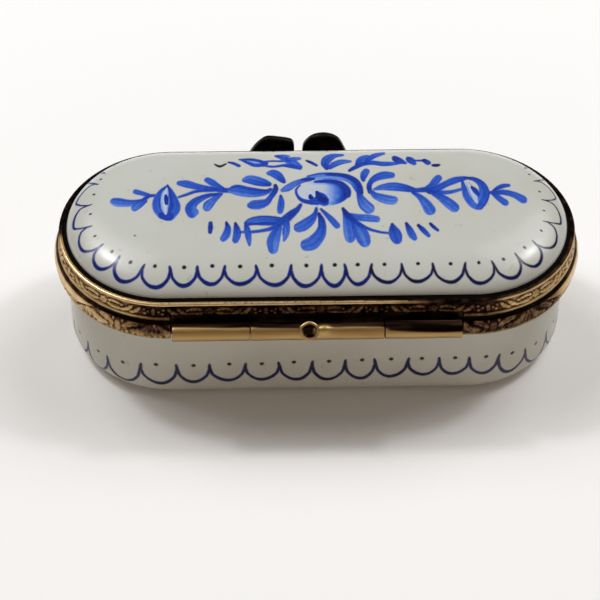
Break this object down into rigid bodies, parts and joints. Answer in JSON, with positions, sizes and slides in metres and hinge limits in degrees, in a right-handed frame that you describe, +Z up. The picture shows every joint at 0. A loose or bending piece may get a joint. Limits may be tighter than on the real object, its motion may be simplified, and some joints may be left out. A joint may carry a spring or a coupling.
{
  "type": "trinket box",
  "caption": "Oblong hinged porcelain trinket box with a crowned, hand-painted blue floral lid, engraved gilt-brass rims, a long tube hinge at the back and a bow clasp at the front.",
  "frame": {"origin": "centre of the foot, on the surface the box stands on", "axes": "+X along the box's length, +Y towards the hinge, -Y towards the clasp, +Z up"},
  "size_m": [0.072, 0.037, 0.0228],
  "materials": {
    "painted_porcelain": "white glazed porcelain, hand-painted in cobalt blue",
    "gilt_brass": "engraved gilt brass, worn bright on the high spots and dark in the hollows",
    "dark_bronze": "blackened cast bronze",
    "pin_steel": "drawn steel wire",
    "bedding_cement": "dark bedding cement"
  },
  "bodies": {
    "base": {"base_porcelain": "painted_porcelain", "base_rim": "gilt_brass", "base_cement": "bedding_cement", "catch_stud": "gilt_brass", "base_hinge_leaf": "gilt_brass", "base_knuckle_right": "gilt_brass", "base_knuckle_left": "gilt_brass"},
    "lid": {"lid_porcelain": "painted_porcelain", "lid_rim": "gilt_brass", "lid_cement": "bedding_cement", "lid_hinge_leaf": "gilt_brass", "lid_knuckle": "gilt_brass", "pin_lock_eyelet": "gilt_brass", "hinge_pin": "pin_steel", "clasp_strip": "dark_bronze", "clasp_bow": "dark_bronze"}
  },
  "joints": [
    {"name": "lid_hinge", "type": "hinge", "parent": "base", "child": "lid", "pos_m": [0, 0.0166, 0.01595], "axis": [-1, 0, 0], "range_deg": [0, 100]}
  ]
}
